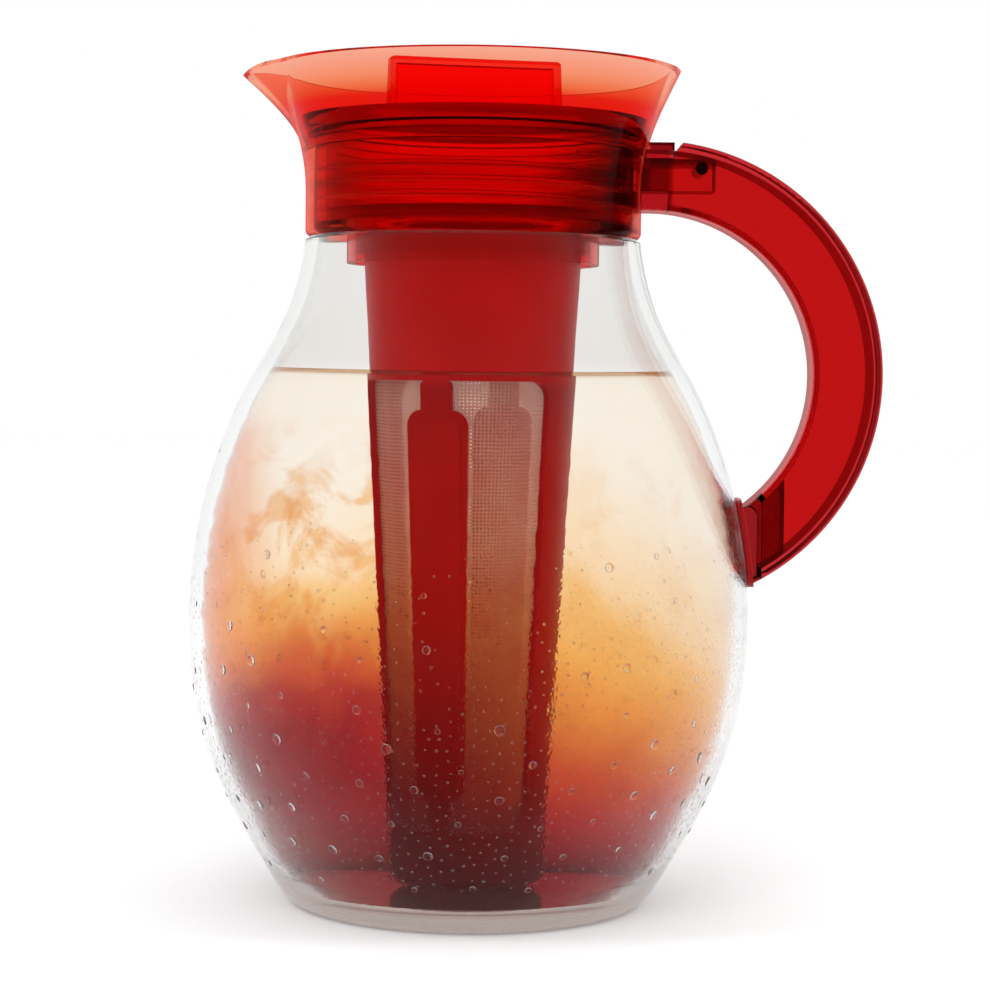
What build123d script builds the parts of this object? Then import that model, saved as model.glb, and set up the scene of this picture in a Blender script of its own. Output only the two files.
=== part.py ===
"""Iced tea maker: a clear jug with a red pouring collar and handle, a threaded plug lid
and a tea infuser that hangs from the lid.

Millimetres. +Z is up and Z = 0 is the surface that the jug stands on. The jug's axis is
the Z axis, the spout points along -X and the handle along +X.
"""
import os
from math import cos, degrees, radians, sin, sqrt

from build123d import *

# ---- driving dimensions -------------------------------------------------------------

# Pitcher body: its outline runs through these radii, each a rise above the one before
base_radius = 53.0
heel_radius = 63.4
heel_rise = 10.5
lower_radius = 81.3
lower_rise = 34.5
belly_radius = 88.5
belly_rise = 50.0
shoulder_radius = 78.0
shoulder_rise = 52.5
slope_radius = 69.0
slope_rise = 19.5
throat_radius = 58.3
throat_rise = 20.0
ledge_radius = 53.0
ledge_rise = 22.2
ledge_tension = 0.6
body_wall = 4.0
floor_thickness = 6.0
floor_corner = 9.0

# Neck of the pitcher body, inside the collar
ledge_step = 2.8
neck_wall = 3.0
neck_height = 28.8
neck_blend = 5.0

# Pouring collar
gasket_thickness = 1.0
gasket_recess = 1.5
collar_wall = 3.0
collar_straight = 14.0
collar_height = 52.8
collar_edge_round = 2.0
rim_spread = 11.8
rim_lean = 25.0
collar_bore_gap = 0.2

# Spout of the collar
spout_reach = 12.0
spout_half_angle = 25.0
spout_nose = 4.5
spout_drop = 6.5
spout_lip_run = 2.0
spout_curl = 1.4
spout_root = 0.4
spout_steps = 5

# Handle: a round band in the XZ plane
handle_root_length = 2.8
handle_top_rise = 31.0
handle_grip_radius = 51.4
handle_depth = 22.0
handle_width = 20.0
handle_wall = 2.5
handle_cover_thickness = 3.0
handle_corner = 4.0
cover_corner = 1.4
cover_start_angle = 6.0
cover_start_slope = 40.0
handle_end_gap = 3.5

# Lug of the collar inside the handle, and its cross pin
lug_height = 10.0
lug_gap = 0.2
lug_end_wall = 2.5
pin_reach = 15.5
pin_depth = 3.0
pin_radius = 2.0
pin_inset = 0.5

# Crown of the collar on the handle's root, in front of the cover
crown_width = 12.0
crown_height = 2.4
crown_gap = 0.2

# Foot of the handle
foot_pad_thickness = 2.0
foot_pad_side_margin = 3.0
foot_pad_end_margin = 0.8
foot_pad_corner = 6.0
foot_seat_gap = 0.05
spigot_length = 7.0
spigot_gap = 0.15

# Lid
plug_gap = 0.6
plug_wall = 2.6
plug_depth = 22.0
plug_floor = 2.5
skirt_step = 6.7
skirt_wall = 2.5
skirt_length = 14.5
flange_gap = 0.2
seal_thickness = 3.0
seal_gap = 0.4
flange_thickness = 3.0
lid_disc_thickness = 3.5
lid_disc_wall = 2.2
lid_rim_wall = 2.6
lid_flare_gap = 1.6
fin_length = 56.0
fin_top_length = 55.0
fin_width = 12.0
fin_top_width = 8.0
fin_height = 19.5
fin_wall = 2.0
fin_corner = 2.5
fin_angle = 12.0

# Infuser
infuser_floor_gap = 2.0
infuser_bottom_radius = 23.4
infuser_ring_step = 2.6
infuser_wall = 2.2
infuser_ring_height = 11.0
infuser_thread_gap = 0.4
infuser_top_gap = 0.4
cap_height = 15.5
cap_wall = 2.2
cap_corner = 4.0
cap_spigot_height = 5.0
cap_spigot_wall = 1.6
cap_spigot_gap = 0.3
frame_foot_ring = 3.5
mesh_thickness = 0.8
mesh_gap = 0.05
mesh_ledge = 1.2
mesh_overlap = 6.0

# Windows of the infuser frame
window_drop = 40.2
window_angle = 134.0
window_corner = 6.0
rib_angle = 36.0
rib_neck_angle = 18.0
rib_neck_length = 9.0
rib_corner = 5.0
rib_bearing = -109.0
rib_relief = 0.6
rib_relief_margin = 2.5
rib_root_round = 3.0

# ---- worked-out sizes -----------------------------------------------------------------

heel_height = heel_rise
lower_height = heel_height + lower_rise
belly_height = lower_height + belly_rise
shoulder_height = belly_height + shoulder_rise
slope_height = shoulder_height + slope_rise
throat_height = slope_height + throat_rise
ledge_height = throat_height + ledge_rise
neck_radius = ledge_radius - ledge_step
neck_top = ledge_height + neck_height
neck_bore = neck_radius - neck_wall
collar_radius = ledge_radius
collar_bore = neck_radius + collar_bore_gap
collar_base = ledge_height + gasket_thickness
rim_height = collar_base + collar_height
rim_radius = collar_radius + rim_spread
flare_base = collar_base + collar_straight
handle_outer_radius = handle_grip_radius + handle_depth
handle_centre_x = collar_radius + handle_root_length
handle_centre_z = collar_base + handle_top_rise - handle_outer_radius
handle_end_x = belly_radius + handle_end_gap
cover_seat_radius = handle_outer_radius - handle_cover_thickness
handle_floor_radius = handle_grip_radius + handle_wall
cavity_width = handle_width - 2 * handle_wall
plug_radius = neck_bore - plug_gap
seal_top = neck_top + seal_thickness
flange_top = seal_top + flange_thickness
lid_height = flange_top + lid_disc_thickness
plug_base = neck_top - plug_depth
skirt_base = plug_base - skirt_length
skirt_radius = plug_radius - skirt_step
skirt_bore = skirt_radius - skirt_wall
ring_radius = skirt_bore - infuser_thread_gap
ring_top = plug_base - infuser_top_gap
ring_base = ring_top - infuser_ring_height
infuser_top_radius = ring_radius - infuser_ring_step
infuser_base = floor_thickness + infuser_floor_gap
cap_top = infuser_base + cap_height
window_base = cap_top + frame_foot_ring
window_top = ring_base - window_drop
below = (Align.CENTER, Align.MAX)


def infuser_radius(height):
    """Outer radius of the tapered infuser at a height."""
    share = (height - infuser_base) / (ring_base - infuser_base)
    return infuser_bottom_radius + share * (infuser_top_radius - infuser_bottom_radius)


# ---- pitcher body ----------------------------------------------------------------------

side = Spline(
    (base_radius, 0),
    (heel_radius, heel_height),
    (lower_radius, lower_height),
    (belly_radius, belly_height),
    (shoulder_radius, shoulder_height),
    (slope_radius, slope_height),
    (throat_radius, throat_height),
    (ledge_radius, ledge_height),
    tangents=((1, 0.12), (-0.05, 1)),
    tangent_scalars=(1, ledge_tension),
)
side_stations = 14


def side_points(inset):
    """Points of the jug's side, moved towards its axis by inset along the wall's normal."""
    points = []
    for step in range(side_stations + 1):
        along = step / side_stations
        spot = side @ along
        heading = side % along
        points.append((spot.X - inset * heading.Y, spot.Y + inset * heading.X))
    return points


with BuildPart() as pitcher_body:
    with BuildSketch(Plane.XZ) as body_section:
        with BuildLine():
            add(side)
            Polyline(
                side @ 1,
                (neck_radius, ledge_height),
                (neck_radius, neck_top),
                (0, neck_top),
                (0, 0),
                side @ 0,
            )
        make_face()
    revolve(axis=Axis.Z)
    with BuildSketch(Plane.XZ) as body_cavity:
        with BuildLine():
            inner_side = Spline(*side_points(body_wall))
            Polyline(
                inner_side @ 1,
                (neck_bore, ledge_height + neck_blend),
                (neck_bore, neck_top),
                (0, neck_top),
                (0, (inner_side @ 0).Y),
                inner_side @ 0,
            )
        make_face()
        with Locations((0, floor_thickness)):
            Rectangle(2 * belly_radius, ledge_height, align=below, mode=Mode.SUBTRACT)
        fillet(vertices().group_by(Axis.Y)[0].sort_by(Axis.X)[-1], radius=floor_corner)
    revolve(axis=Axis.Z, mode=Mode.SUBTRACT)
pitcher_body.part.label = "pitcher_body"

# ---- pouring collar ------------------------------------------------------------------------

rim_slope = (sin(radians(rim_lean)), cos(radians(rim_lean)))
mouth_bottom_radius = collar_radius
mouth_radius = rim_radius - collar_wall / cos(radians(rim_lean))
flare = Spline(
    (collar_radius, flare_base),
    (rim_radius, rim_height),
    tangents=((0, 1), rim_slope),
)


def spout_block(inset, lift):
    """The spout as a stack of pointed plans that curl away from the flare towards the rim."""
    with BuildPart() as block:
        for step in range(spout_steps + 1):
            share = step / spout_steps
            on_flare = flare @ (spout_root + (1 - spout_root) * share)
            radius = on_flare.X - inset
            side_x = radius * cos(radians(spout_half_angle))
            side_y = radius * sin(radians(spout_half_angle))
            with BuildSketch(Plane.XY.offset(on_flare.Y + lift)):
                Polygon(
                    (-side_x, -side_y),
                    (-radius - spout_reach * share**spout_curl, 0),
                    (-side_x, side_y),
                    align=None,
                )
                fillet(vertices().sort_by(Axis.X)[0], radius=spout_nose)
        loft()
    return block.part


spout_shell = spout_block(0, 0)
with BuildPart() as spout_channel:
    add(spout_block(collar_wall, collar_wall / 2))
    extrude(faces().sort_by(Axis.Z)[-1], amount=collar_wall)

with BuildPart() as collar_outside:
    with BuildSketch(Plane.XZ) as collar_section:
        with BuildLine():
            add(flare)
            Polyline(
                flare @ 1,
                (0, rim_height),
                (0, collar_base),
                (collar_radius, collar_base),
                flare @ 0,
            )
        make_face()
        fillet(vertices().group_by(Axis.Y)[0].sort_by(Axis.X)[-1], radius=collar_edge_round)
    revolve(axis=Axis.Z)

# The lug is a tongue of the collar that fills the upper end of the handle
lug_top = handle_centre_z + cover_seat_radius - handle_wall - lug_gap
pin_x = handle_centre_x + pin_reach
lug_end_x = pin_x + pin_radius + lug_end_wall
lug_width = cavity_width - 2 * lug_gap
pin_z = lug_top - pin_depth
crown_reach = cover_seat_radius * sin(radians(cover_start_angle))
crown_end_x = handle_centre_x + crown_reach - crown_gap

with BuildPart() as collar:
    with BuildSketch(Plane.XZ):
        with Locations((0, lug_top)):
            Rectangle(lug_end_x, lug_height, align=(Align.MIN, Align.MAX))
        with Locations((handle_centre_x, handle_centre_z)):
            Circle(cover_seat_radius - lug_gap, mode=Mode.INTERSECT)
        with Locations((pin_x, pin_z)):
            Circle(pin_radius, mode=Mode.SUBTRACT)
    extrude(amount=lug_width / 2, both=True)
    with BuildSketch(Plane.XZ):
        with Locations((0, handle_centre_z + cover_seat_radius + crown_gap)):
            Rectangle(crown_end_x, crown_height, align=(Align.MIN, Align.MIN))
    extrude(amount=crown_width / 2, both=True)
    add(collar_outside.part)
    add(spout_shell)
    with BuildSketch(Plane.XZ) as mouth_section:
        with BuildLine():
            mouth = Spline(
                (mouth_bottom_radius, neck_top),
                (mouth_radius, rim_height),
                tangents=(rim_slope, rim_slope),
            )
            Polyline(
                mouth @ 1,
                (0, rim_height),
                (0, neck_top),
                mouth @ 0,
            )
        make_face()
    revolve(axis=Axis.Z, mode=Mode.SUBTRACT)
    with BuildSketch(Plane.XY.offset(collar_base)):
        Circle(collar_bore)
    extrude(until=Until.LAST, mode=Mode.SUBTRACT)
    add(spout_channel.part, mode=Mode.SUBTRACT)
    with BuildSketch(Plane.XZ) as spout_lip:
        with BuildLine():
            lip = Spline(
                (-rim_radius + spout_lip_run, rim_height),
                (-rim_radius - spout_reach, rim_height - spout_drop),
                tangents=((-1, 0), (-spout_reach / 2, -spout_reach)),
            )
            Polyline(lip @ 1, (-rim_radius - spout_reach, rim_height), lip @ 0)
        make_face()
    extrude(amount=rim_radius, both=True, mode=Mode.SUBTRACT)
collar.part.label = "collar"

with BuildPart() as collar_gasket:
    with BuildSketch(Plane.XY.offset(ledge_height)):
        Circle(ledge_radius - gasket_recess)
        Circle(neck_radius, mode=Mode.SUBTRACT)
    extrude(amount=gasket_thickness)
collar_gasket.part.label = "collar_gasket"

# ---- handle ------------------------------------------------------------------------------

handle_axis = Axis((handle_centre_x, 0, handle_centre_z), (0, 1, 0))
half_turn = 180
band_reach = 2 * handle_outer_radius


def band_plane(turn):
    """Section plane of the handle, turned clockwise from its top; its x runs outward."""
    lean = radians(turn)
    return Plane(
        origin=(handle_centre_x, 0, handle_centre_z),
        x_dir=(sin(lean), 0, cos(lean)),
        z_dir=(-cos(lean), 0, sin(lean)),
    )


def band_strip(inner, outer, width):
    """Section of a strip that follows the handle, between two radii."""
    with Locations(((inner + outer) / 2, 0)):
        Rectangle(outer - inner, width)


with BuildPart() as lower_end_trim:
    with Locations((handle_end_x, 0, handle_centre_z)):
        Box(band_reach, band_reach, band_reach, align=(Align.MAX, Align.CENTER, Align.MAX))

with BuildPart() as handle_channel:
    with BuildSketch(band_plane(0)) as channel_section:
        band_strip(handle_grip_radius, cover_seat_radius, handle_width)
        fillet(vertices().group_by(Axis.X)[0], radius=handle_corner)
    extrude(amount=handle_centre_x)
    revolve(channel_section.sketch, axis=handle_axis, revolution_arc=half_turn)
    with BuildSketch(band_plane(cover_start_angle)):
        band_strip(handle_floor_radius, handle_outer_radius, cavity_width)
    revolve(axis=handle_axis, revolution_arc=half_turn - cover_start_angle, mode=Mode.SUBTRACT)
    with BuildSketch(Plane.XZ):
        with Locations((0, lug_top + lug_gap)):
            Rectangle(lug_end_x, lug_height + 2 * lug_gap, align=(Align.MIN, Align.MAX))
    extrude(amount=cavity_width / 2, both=True, mode=Mode.SUBTRACT)
    with Locations(Plane.XZ):
        with Locations((pin_x, pin_z)):
            Cylinder(pin_radius, handle_width - 2 * pin_inset, mode=Mode.SUBTRACT)
    add(lower_end_trim.part, mode=Mode.SUBTRACT)
    add(collar_outside.part, mode=Mode.SUBTRACT)
handle_channel.part.label = "handle_channel"

cover_start = band_plane(cover_start_angle)
cover_start_face = Plane(
    origin=cover_start.from_local_coords((cover_seat_radius, 0, 0)),
    x_dir=(0, 1, 0),
    z_dir=(-cos(radians(cover_start_slope)), 0, sin(radians(cover_start_slope))),
)

with BuildPart() as handle_cover:
    with BuildSketch(cover_start):
        band_strip(cover_seat_radius, handle_outer_radius, handle_width)
        fillet(vertices().group_by(Axis.X)[-1], radius=cover_corner)
    revolve(axis=handle_axis, revolution_arc=half_turn - cover_start_angle)
    split(bisect_by=cover_start_face, keep=Keep.BOTTOM)
    add(lower_end_trim.part, mode=Mode.SUBTRACT)
handle_cover.part.label = "handle_cover"

with BuildPart() as handle_pin:
    with Locations(Plane.XZ):
        with Locations((pin_x, pin_z)):
            Cylinder(pin_radius, handle_width - 2 * pin_inset)
handle_pin.part.label = "handle_pin"

# The foot carries the band on to the jug and ends in a thin pad that hugs its side
with BuildPart() as jug_outside:
    with BuildSketch(Plane.XZ):
        with BuildLine():
            seat_side = Spline(*side_points(-foot_seat_gap))
            Polyline(seat_side @ 1, (0, ledge_height), (0, 0), seat_side @ 0)
        make_face()
    revolve(axis=Axis.Z)

foot_low = handle_centre_z - sqrt(handle_outer_radius**2 - (belly_radius - handle_centre_x) ** 2)
foot_high = handle_centre_z - sqrt(handle_grip_radius**2 - (belly_radius - handle_centre_x) ** 2)
foot_pad_height = foot_high - foot_low + 2 * foot_pad_end_margin
foot_pad_width = handle_width + 2 * foot_pad_side_margin

with BuildPart() as foot_pad:
    with BuildSketch(Plane.XZ):
        with BuildLine():
            pad_side = Spline(*side_points(-foot_pad_thickness))
            Polyline(pad_side @ 1, (0, ledge_height), (0, 0), pad_side @ 0)
        make_face()
    revolve(axis=Axis.Z)
    with BuildSketch(Plane.YZ):
        with Locations((0, (foot_low + foot_high) / 2)):
            RectangleRounded(foot_pad_width, foot_pad_height, foot_pad_corner)
    extrude(amount=band_reach, mode=Mode.INTERSECT)

spigot_start = handle_end_x - foot_pad_thickness
with BuildPart() as foot_spigot:
    with BuildSketch(band_plane(half_turn / 2)):
        band_strip(
            handle_floor_radius + spigot_gap,
            cover_seat_radius - spigot_gap,
            cavity_width - 2 * spigot_gap,
        )
    revolve(axis=handle_axis, revolution_arc=half_turn / 2)
    with Locations((spigot_start, 0, handle_centre_z)):
        Box(
            handle_end_x + spigot_length - spigot_start,
            band_reach,
            band_reach,
            align=(Align.MIN, Align.CENTER, Align.MAX),
            mode=Mode.INTERSECT,
        )

with BuildPart() as handle_foot:
    with BuildSketch(band_plane(half_turn / 2)):
        band_strip(handle_grip_radius, handle_outer_radius, handle_width)
        fillet(vertices().group_by(Axis.X)[0], radius=handle_corner)
        fillet(vertices().group_by(Axis.X)[-1], radius=cover_corner)
    revolve(axis=handle_axis, revolution_arc=half_turn / 2)
    add(lower_end_trim.part, mode=Mode.INTERSECT)
    add(foot_pad.part)
    add(foot_spigot.part)
    add(jug_outside.part, mode=Mode.SUBTRACT)
handle_foot.part.label = "handle_foot"

# ---- lid -----------------------------------------------------------------------------------

mouth_spread = (mouth_radius - mouth_bottom_radius) / (rim_height - neck_top)


def lid_radius(height):
    """Outer radius of the lid's rim, which follows the flare of the mouth."""
    return mouth_bottom_radius + (height - neck_top) * mouth_spread - lid_flare_gap


lid_rim_base = seal_top + flange_gap
flange_radius = lid_radius(lid_rim_base) - lid_rim_wall - flange_gap
plug_bore = plug_radius - plug_wall

with BuildPart() as lid_seal:
    with BuildSketch(Plane.XY.offset(neck_top)):
        Circle(neck_radius - collar_bore_gap)
        Circle(plug_radius + seal_gap, mode=Mode.SUBTRACT)
    extrude(amount=seal_thickness)
lid_seal.part.label = "lid_seal"

with BuildPart() as lid_plug:
    with BuildSketch(Plane.XZ):
        with BuildLine():
            Polyline(
                (0, plug_base),
                (skirt_bore, plug_base),
                (skirt_bore, skirt_base),
                (skirt_radius, skirt_base),
                (skirt_radius, plug_base),
                (plug_radius, plug_base),
                (plug_radius, seal_top),
                (flange_radius, seal_top),
                (flange_radius, flange_top),
                (plug_bore, flange_top),
                (plug_bore, plug_base + plug_floor),
                (0, plug_base + plug_floor),
                close=True,
            )
        make_face()
    revolve(axis=Axis.Z)
lid_plug.part.label = "lid_plug"

fin_turn = Plane.XY.rotated((0, 0, fin_angle))
fin_base = lid_height - lid_disc_wall
fin_top = lid_height + fin_height

with BuildPart() as fin_hollow:
    with BuildSketch(fin_turn.offset(flange_top)):
        RectangleRounded(fin_length - 2 * fin_wall, fin_width - 2 * fin_wall, fin_corner - fin_wall / 2)
    with BuildSketch(fin_turn.offset(fin_top - fin_wall)):
        RectangleRounded(
            fin_top_length - 2 * fin_wall,
            fin_top_width - 2 * fin_wall,
            fin_corner - fin_wall / 2,
        )
    loft()

with BuildPart() as lid_top:
    with BuildSketch(Plane.XZ):
        with BuildLine():
            Polyline(
                (0, fin_base),
                (plug_bore, fin_base),
                (plug_bore, flange_top),
                (flange_radius + flange_gap, flange_top),
                (flange_radius + flange_gap, lid_rim_base),
                (lid_radius(lid_rim_base), lid_rim_base),
                (lid_radius(lid_height), lid_height),
                (0, lid_height),
                close=True,
            )
        make_face()
    revolve(axis=Axis.Z)
    with BuildSketch(fin_turn.offset(fin_base)):
        RectangleRounded(fin_length, fin_width, fin_corner)
    with BuildSketch(fin_turn.offset(fin_top)):
        RectangleRounded(fin_top_length, fin_top_width, fin_corner)
    loft()
    fillet(faces().sort_by(Axis.Z)[-1].edges(), radius=fin_wall / 2)
    add(fin_hollow.part, mode=Mode.SUBTRACT)
lid_top.part.label = "lid_top"

# ---- infuser --------------------------------------------------------------------------------

frame_lip_radius = infuser_radius(cap_top) - infuser_wall - mesh_ledge
mesh_base = cap_top + mesh_ledge
mesh_top = window_top + mesh_overlap
window_inner_radius = frame_lip_radius - mesh_ledge
window_outer_radius = ring_radius + infuser_wall


def wedge(base, top, angle, corner):
    """Wedge of the space round the axis, centred on +X, with its radial edges rounded."""
    with BuildPart() as block:
        with BuildSketch(Plane.XZ.rotated((0, 0, -angle / 2))):
            with Locations((window_inner_radius, base)):
                Rectangle(
                    window_outer_radius - window_inner_radius,
                    top - base,
                    align=(Align.MIN, Align.MIN),
                )
        revolve(axis=Axis.Z, revolution_arc=angle)
        radial_edges = block.edges().filter_by(GeomType.LINE).filter_by(Axis.Z, reverse=True)
        fillet(radial_edges, radius=corner)
    return block.part


paddle_base = window_base + rib_neck_length
paddle_top = window_top - rib_neck_length
window_block = wedge(window_base, window_top, window_angle, window_corner)
paddle_block = wedge(paddle_base, paddle_top, rib_angle, rib_corner)
neck_block = wedge(window_base, window_top, rib_neck_angle, rib_root_round / 2)
relief_block = wedge(
    paddle_base + rib_relief_margin,
    paddle_top - rib_relief_margin,
    rib_angle - 2 * degrees(rib_relief_margin / infuser_top_radius),
    rib_corner - rib_relief_margin,
)

with BuildPart() as window_cutter:
    add(window_block)
    add(paddle_block, mode=Mode.SUBTRACT)
    add(neck_block, mode=Mode.SUBTRACT)


def frame_wall(inner_offset, outer_offset, base, top):
    """Closed section of a tapered tube, offset from the infuser's outer face."""
    return Polygon(
        (infuser_radius(base) + inner_offset, base),
        (infuser_radius(base) + outer_offset, base),
        (infuser_radius(top) + outer_offset, top),
        (infuser_radius(top) + inner_offset, top),
        align=None,
    )


with BuildPart() as rib_relief_shell:
    with BuildSketch(Plane.XZ):
        frame_wall(-infuser_wall / 2, rib_relief, window_base, window_top)
    revolve(axis=Axis.Z)
    add(relief_block, mode=Mode.INTERSECT)

with BuildPart() as infuser_frame:
    with BuildSketch(Plane.XZ):
        frame_wall(-infuser_wall, 0, cap_top, ring_top)
        with Locations((infuser_radius(ring_base) - infuser_wall / 2, ring_base)):
            Rectangle(
                ring_radius - infuser_radius(ring_base) + infuser_wall / 2,
                infuser_ring_height,
                align=(Align.MIN, Align.MIN),
            )
        with Locations((frame_lip_radius, cap_top)):
            Rectangle(mesh_ledge + infuser_wall / 2, mesh_ledge, align=(Align.MIN, Align.MIN))
    revolve(axis=Axis.Z)
    with PolarLocations(0, 2, start_angle=rib_bearing):
        add(window_cutter.part, mode=Mode.SUBTRACT)
    with PolarLocations(0, 2, start_angle=rib_bearing):
        add(rib_relief_shell.part)
infuser_frame.part.label = "infuser_frame"

with BuildPart() as infuser_mesh:
    with BuildSketch(Plane.XZ):
        frame_wall(
            -infuser_wall - mesh_gap - mesh_thickness,
            -infuser_wall - mesh_gap,
            mesh_base,
            mesh_top,
        )
    revolve(axis=Axis.Z)
infuser_mesh.part.label = "infuser_mesh"

spigot_radius = frame_lip_radius - cap_spigot_gap
cap_top_radius = infuser_radius(cap_top)
with BuildPart() as infuser_cap:
    with BuildSketch(Plane.XZ):
        with BuildLine():
            Polyline(
                (0, infuser_base),
                (infuser_bottom_radius, infuser_base),
                (cap_top_radius, cap_top),
                (spigot_radius, cap_top),
                (spigot_radius, cap_top + cap_spigot_height),
                (spigot_radius - cap_spigot_wall, cap_top + cap_spigot_height),
                (spigot_radius - cap_spigot_wall, infuser_base + cap_wall),
                (0, infuser_base + cap_wall),
                close=True,
            )
        make_face()
        fillet(vertices().group_by(Axis.Y)[0].sort_by(Axis.X)[-1], radius=cap_corner)
    revolve(axis=Axis.Z)
infuser_cap.part.label = "infuser_cap"

os.makedirs("parts", exist_ok=True)
export_step(pitcher_body.part, "parts/pitcher_body.step")
export_step(collar.part, "parts/collar.step")
export_step(collar_gasket.part, "parts/collar_gasket.step")
export_step(handle_channel.part, "parts/handle_channel.step")
export_step(handle_cover.part, "parts/handle_cover.step")
export_step(handle_pin.part, "parts/handle_pin.step")
export_step(handle_foot.part, "parts/handle_foot.step")
export_step(lid_seal.part, "parts/lid_seal.step")
export_step(lid_plug.part, "parts/lid_plug.step")
export_step(lid_top.part, "parts/lid_top.step")
export_step(infuser_frame.part, "parts/infuser_frame.step")
export_step(infuser_mesh.part, "parts/infuser_mesh.step")
export_step(infuser_cap.part, "parts/infuser_cap.step")
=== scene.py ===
"""Iced tea maker: a clear jug with a red pouring collar and handle, iced tea in it, and an
infuser that hangs in the tea from a red plug lid.

Metres, in the CAD model's frame: +Z is up, the spout points along -X and the handle along +X.
"""
from math import cos, pi, radians, sin

import bmesh
import bpy
from mathutils import Matrix, Vector


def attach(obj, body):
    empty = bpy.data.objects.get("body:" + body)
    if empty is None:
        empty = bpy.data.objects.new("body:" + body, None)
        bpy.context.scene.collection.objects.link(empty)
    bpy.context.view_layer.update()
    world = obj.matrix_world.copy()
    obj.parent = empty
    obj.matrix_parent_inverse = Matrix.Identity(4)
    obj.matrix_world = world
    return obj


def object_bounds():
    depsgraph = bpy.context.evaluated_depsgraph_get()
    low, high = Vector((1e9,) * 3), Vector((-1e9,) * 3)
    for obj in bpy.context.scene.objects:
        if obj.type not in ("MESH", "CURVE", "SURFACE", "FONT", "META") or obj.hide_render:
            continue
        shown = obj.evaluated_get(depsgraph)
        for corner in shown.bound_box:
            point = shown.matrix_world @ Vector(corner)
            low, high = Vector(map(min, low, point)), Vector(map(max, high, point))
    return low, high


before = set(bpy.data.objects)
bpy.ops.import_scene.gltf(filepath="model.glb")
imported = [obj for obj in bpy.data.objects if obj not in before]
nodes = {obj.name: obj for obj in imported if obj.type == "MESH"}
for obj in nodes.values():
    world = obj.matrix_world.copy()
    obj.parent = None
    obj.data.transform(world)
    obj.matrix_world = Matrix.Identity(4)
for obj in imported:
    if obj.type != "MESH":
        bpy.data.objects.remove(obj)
cad_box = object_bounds()

# ---- studio ------------------------------------------------------------------------------
# A white table in a white room, lit evenly from all round so that clear plastic stays
# clear and colours keep their own value. Two high narrow lamps shape the sides and a wide
# one above the camera rounds off the lid. None of them mirrors in the plastic.

studio = bpy.context.scene
studio.view_settings.view_transform = "Standard"
studio.cycles.max_bounces = 40
studio.cycles.transmission_bounces = 40
studio.cycles.glossy_bounces = 32
studio.cycles.transparent_max_bounces = 24


def paint(code):
    """Linear RGBA of an sRGB hex colour."""
    shares = [int(code[start : start + 2], 16) / 255 for start in (0, 2, 4)]
    return [s / 12.92 if s <= 0.04045 else ((s + 0.055) / 1.055) ** 2.4 for s in shares] + [1]


def add_node(tree, kind, inputs=None, stops=(), **settings):
    """Adds a node with its settings; an input is a value or the output that feeds it."""
    node = tree.nodes.new(kind)
    for name, value in settings.items():
        setattr(node, name, value)
    for name, value in (inputs or {}).items():
        if isinstance(value, bpy.types.NodeSocket):
            tree.links.new(value, node.inputs[name])
        else:
            node.inputs[name].default_value = value
    for place, (position, code) in enumerate(stops):
        points = node.color_ramp.elements
        point = points[place] if place < 2 else points.new(position)
        point.position, point.color = position, paint(code)
    return node


def empty_tree(owner):
    """The cleared node tree of a material or world."""
    owner.use_nodes = True
    owner.node_tree.nodes.clear()
    return owner.node_tree


# Only light that hasn't yet met a matt surface sees the room at full white, so the white
# background puts no more light on the object than room_level does.
room_level = 0.9
first_bounce = 0.5
room = bpy.data.worlds.new("white_room")
studio.world = room
tree = empty_tree(room)
ray = add_node(tree, "ShaderNodeLightPath").outputs
seen = add_node(
    tree, "ShaderNodeMath", {0: ray["Is Camera Ray"], 1: ray["Is Glossy Ray"]}, operation="MAXIMUM"
)
seen = add_node(
    tree,
    "ShaderNodeMath",
    {0: seen.outputs[0], 1: ray["Is Transmission Ray"]},
    operation="MAXIMUM",
)
straight = add_node(
    tree, "ShaderNodeMath", {0: ray["Diffuse Depth"], 1: first_bounce}, operation="LESS_THAN"
)
seen = add_node(
    tree, "ShaderNodeMath", {0: seen.outputs[0], 1: straight.outputs[0]}, operation="MULTIPLY"
)
level = add_node(
    tree, "ShaderNodeMapRange", {"Value": seen.outputs[0], "To Min": room_level, "To Max": 1}
)
room_light = add_node(
    tree, "ShaderNodeBackground", {"Color": paint("FFFFFF"), "Strength": level.outputs[0]}
)
add_node(tree, "ShaderNodeOutputWorld", {"Surface": room_light.outputs[0]})

table_mesh = bpy.data.meshes.new("table")
table_reach = 6.0
table_glow = 0.19
table_mesh.from_pydata(
    [(x * table_reach, y * table_reach, 0) for x, y in ((-1, -1), (1, -1), (1, 1), (-1, 1))],
    [],
    [(0, 1, 2, 3)],
)
table_top = bpy.data.objects.new("table", table_mesh)
studio.collection.objects.link(table_top)
table_white = bpy.data.materials.new("white_table_top")
tree = empty_tree(table_white)
ray = add_node(tree, "ShaderNodeLightPath").outputs
seen = add_node(
    tree, "ShaderNodeMath", {0: ray["Is Camera Ray"], 1: ray["Is Glossy Ray"]}, operation="MAXIMUM"
)
seen = add_node(
    tree,
    "ShaderNodeMath",
    {0: seen.outputs[0], 1: ray["Is Transmission Ray"]},
    operation="MAXIMUM",
)
glow = add_node(tree, "ShaderNodeMath", {0: seen.outputs[0], 1: table_glow}, operation="MULTIPLY")
matt = add_node(tree, "ShaderNodeBsdfDiffuse", {"Color": paint("F3F3F3")})
white = add_node(
    tree, "ShaderNodeEmission", {"Color": paint("FFFFFF"), "Strength": glow.outputs[0]}
)
both = add_node(tree, "ShaderNodeAddShader", {0: matt.outputs[0], 1: white.outputs[0]})
add_node(tree, "ShaderNodeOutputMaterial", {"Surface": both.outputs[0]})
table_mesh.materials.append(table_white)


jug_middle = (0, 0, 0.14)


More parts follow.
